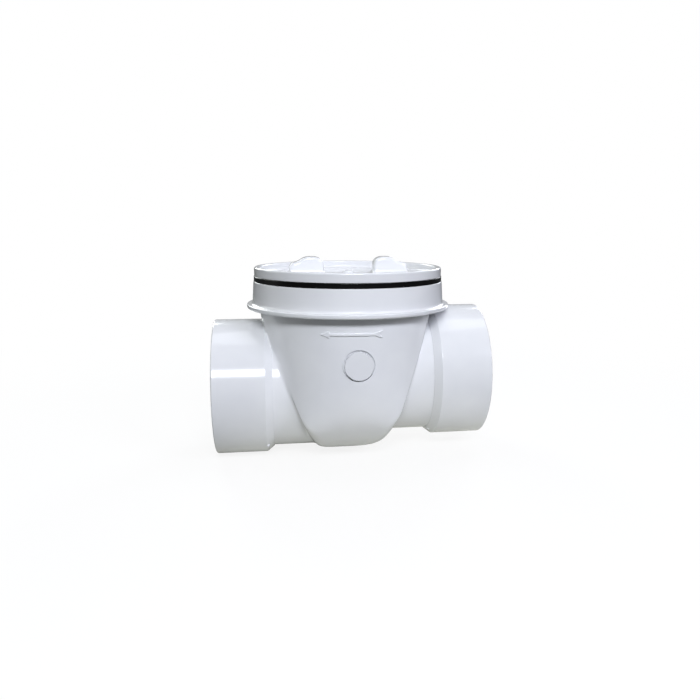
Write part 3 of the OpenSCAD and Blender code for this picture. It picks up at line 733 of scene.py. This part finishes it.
def addScrews(name, node, body, places, normal, size):
    across = Vector((0, 1, 0))
    turn = np.array(Matrix((normal.cross(across), across, normal))).T
    verts, normals, faces = [], [], []
    for i, place in enumerate(places):
        c, s = math.cos(i * screw["spin"]), math.sin(i * screw["spin"])
        stand = turn @ np.array([[c, -s, 0], [s, c, 0], [0, 0, 1]])
        start = i * len(headVerts)
        verts.append(headVerts * size @ stand.T + np.array(place))
        normals.append(headNormals @ stand.T)
        faces += [[v + start for v in f] for f in headFaces]
    verts, normals = np.concatenate(verts), np.concatenate(normals)
    addPiece(name, (verts, fixWinding(verts, faces, normals), normals), body, "steel", node)


clampPlaces = []
for i in range(seat["screws"]):
    t = 2 * math.pi * (i + 0.5) / seat["screws"]
    spot = upWall * math.cos(t) + Vector((0, 1, 0)) * math.sin(t)
    clampPlaces.append(seatCentre + spot * seat["circle"] + intoChamber * seat["clampIn"])
bracketPlaces = [seatCentre + upWall * seat["bracketUp"] + intoChamber * seat["footThick"]
                 + Vector((0, side * seat["bracketSide"], 0)) for side in (-1, 1)]
addScrews("clampScrews", "clamp_screws", "flapper_door", clampPlaces, -intoChamber, 1.0)
addScrews("bracketScrews", "bracket_screws", "valve_body", bracketPlaces, intoChamber,
          seat["bracketDiameter"] / screw["diameter"])
print("screws done")

# Floor, light and camera, in metres
studio = {"floorSize": 12.0, "sheet": "#DEDDD2", "table": "#585A5B", "white": "#FFFFFF",
          "sheetScale": (1.0, 1.05, 1.0), "sheetShift": (-0.03, 0.0, 0.0), "sheetEdge": (0.14, 0.22),
          "shadowShare": 0.14, "shadowFade": (0.30, 0.75), "worldColour": "#ECEBDE", "worldStrength": 0.11,
          "mirrorShare": 0.15, "aim": (0, 0, 0.1)}


# White to the camera, with the object's shadow near it; to other rays a pale sheet on a grey table
def floorMaterial():
    material = bpy.data.materials.new("white_studio_floor")
    material.use_nodes = True
    tree = material.node_tree
    tree.nodes.remove(tree.nodes["Principled BSDF"])
    isCamera = addNode(tree, "ShaderNodeLightPath").outputs["Is Camera Ray"]
    where = addNode(tree, "ShaderNodeTexCoord").outputs["Object"]
    onSheet = addNode(tree, "ShaderNodeVectorMath",
                      {"operation": "MULTIPLY_ADD", 1: studio["sheetScale"], 2: studio["sheetShift"]},
                      {0: where})
    fromSheet = addNode(tree, "ShaderNodeVectorMath", {"operation": "LENGTH"}, {0: onSheet.outputs["Vector"]})
    near, far = studio["sheetEdge"]
    edge = addNode(tree, "ShaderNodeMapRange", {"From Min": near, "From Max": far},
                   {"Value": fromSheet.outputs["Value"]})
    bounce = addNode(tree, "ShaderNodeMix",
                     {"data_type": "RGBA", 6: linear(studio["sheet"]), 7: linear(studio["table"])},
                     {0: edge.outputs["Result"]})
    colour = addNode(tree, "ShaderNodeMix", {"data_type": "RGBA", 7: linear(studio["white"])},
                     {0: isCamera, 6: bounce.outputs[2]})
    plain = addNode(tree, "ShaderNodeBsdfDiffuse", {}, {"Color": colour.outputs[2]})
    white = addNode(tree, "ShaderNodeEmission", {"Color": linear(studio["white"]), "Strength": 1.0})
    away = addNode(tree, "ShaderNodeVectorMath", {"operation": "LENGTH"}, {0: where})
    near, far = studio["shadowFade"]
    fade = addNode(tree, "ShaderNodeMapRange",
                   {"interpolation_type": "SMOOTHSTEP", "From Min": near, "From Max": far,
                    "To Min": 1 - studio["shadowShare"], "To Max": 1.0}, {"Value": away.outputs["Value"]})
    share = addNode(tree, "ShaderNodeMath", {"operation": "MULTIPLY"},
                    {0: isCamera, 1: fade.outputs["Result"]})
    mix = addNode(tree, "ShaderNodeMixShader", {},
                  {0: share.outputs["Value"], 1: plain.outputs["BSDF"], 2: white.outputs["Emission"]})
    tree.links.new(mix.outputs["Shader"], tree.nodes["Material Output"].inputs["Surface"])
    return material


half = studio["floorSize"] / 2
floorMesh = bpy.data.meshes.new("studioFloor")
floorCorners = [(-half, -half, 0), (half, -half, 0), (half, half, 0), (-half, half, 0)]
floorMesh.from_pydata(floorCorners, [], [(0, 1, 2, 3)])
floorMesh.materials.append(floorMaterial())
floor = bpy.data.objects.new("studioFloor", floorMesh)
bpy.context.scene.collection.objects.link(floor)


# White to the camera and, at a share, to mirrored and transmitted rays; a plain dim fill to all others
def addWorld():
    world = bpy.data.worlds.new("studioWorld")
    bpy.context.scene.world = world
    world.use_nodes = True
    tree = world.node_tree
    plain = tree.nodes["Background"]
    plain.inputs["Color"].default_value = linear(studio["worldColour"])
    plain.inputs["Strength"].default_value = studio["worldStrength"]
    white = addNode(tree, "ShaderNodeBackground", {"Color": linear(studio["white"]), "Strength": 1.0})
    rays = addNode(tree, "ShaderNodeLightPath")
    mirrored = addNode(tree, "ShaderNodeMath", {"operation": "MAXIMUM"},
                       {0: rays.outputs["Is Glossy Ray"], 1: rays.outputs["Is Transmission Ray"]})
    seen = addNode(tree, "ShaderNodeMath", {"operation": "MULTIPLY_ADD", 1: studio["mirrorShare"]},
                   {0: mirrored.outputs["Value"], 2: rays.outputs["Is Camera Ray"]})
    mix = addNode(tree, "ShaderNodeMixShader", {},
                  {0: seen.outputs["Value"], 1: plain.outputs["Background"], 2: white.outputs["Background"]})
    tree.links.new(mix.outputs["Shader"], tree.nodes["World Output"].inputs["Surface"])


addWorld()

# Soft boxes: place, width and height, power, colour
lamps = {"key": ((-0.04, -1.32, 0.93), (0.62, 0.24), 16.0, "#F4F8FF"),
         "top": ((0.10, 0.15, 1.40), (1.00, 0.80), 4.6, "#F6F9FF"),
         "right": ((0.93, -1.12, 0.92), (0.50, 0.50), 7.0, "#ECEDFF"),
         "backLeft": ((-0.62, 1.50, 0.85), (0.60, 0.80), 12.0, "#F4F9F8"),
         "backRight": ((0.98, 1.38, 0.85), (0.60, 0.80), 10.5, "#F4F7FF"),
         "left": ((-1.40, 0.45, 0.45), (0.70, 0.60), 3.2, "#F2F6EE")}


def addLamp(name, place, size, energy, colour):
    data = bpy.data.lights.new(name, "AREA")
    data.shape = "RECTANGLE"
    data.size, data.size_y = size
    data.energy = energy
    data.color = linear(colour)[:3]
    lamp = bpy.data.objects.new(name, data)
    lamp.location = place
    lamp.rotation_euler = (Vector(studio["aim"]) - Vector(place)).to_track_quat("-Z", "Y").to_euler()
    bpy.context.scene.collection.objects.link(lamp)


for name, lamp in lamps.items():
    addLamp(name + "Softbox", *lamp)

# Camera: place, turn and focal length of the photograph, with its off-centre frame
view = {"place": (-0.0656, -0.6339, 0.2210), "yaw": 8.77, "pitch": 11.08, "roll": -0.33,
        "focalPx": 660.7, "centrePx": 380.8, "imagePx": 700, "sensor": 36.0}
yaw, pitch, roll = (math.radians(view[k]) for k in ("yaw", "pitch", "roll"))
ahead = Vector((math.sin(yaw) * math.cos(pitch), math.cos(yaw) * math.cos(pitch), -math.sin(pitch)))
right = Vector((math.cos(yaw), -math.sin(yaw), 0))
down = ahead.cross(right)
rightRolled = right * math.cos(roll) + down * math.sin(roll)
downRolled = down * math.cos(roll) - right * math.sin(roll)
cameraData = bpy.data.cameras.new("camera")
cameraData.sensor_width = view["sensor"]
cameraData.lens = view["focalPx"] / view["imagePx"] * view["sensor"]
cameraData.shift_x = (view["imagePx"] / 2 - view["centrePx"]) / view["imagePx"]
camera = bpy.data.objects.new("camera", cameraData)
cameraTurn = Matrix((rightRolled, -downRolled, -ahead)).transposed().to_4x4()
camera.matrix_world = Matrix.Translation(view["place"]) @ cameraTurn
bpy.context.scene.collection.objects.link(camera)
bpy.context.scene.camera = camera
bpy.context.scene.view_settings.view_transform = "Standard"
print("stage ready")
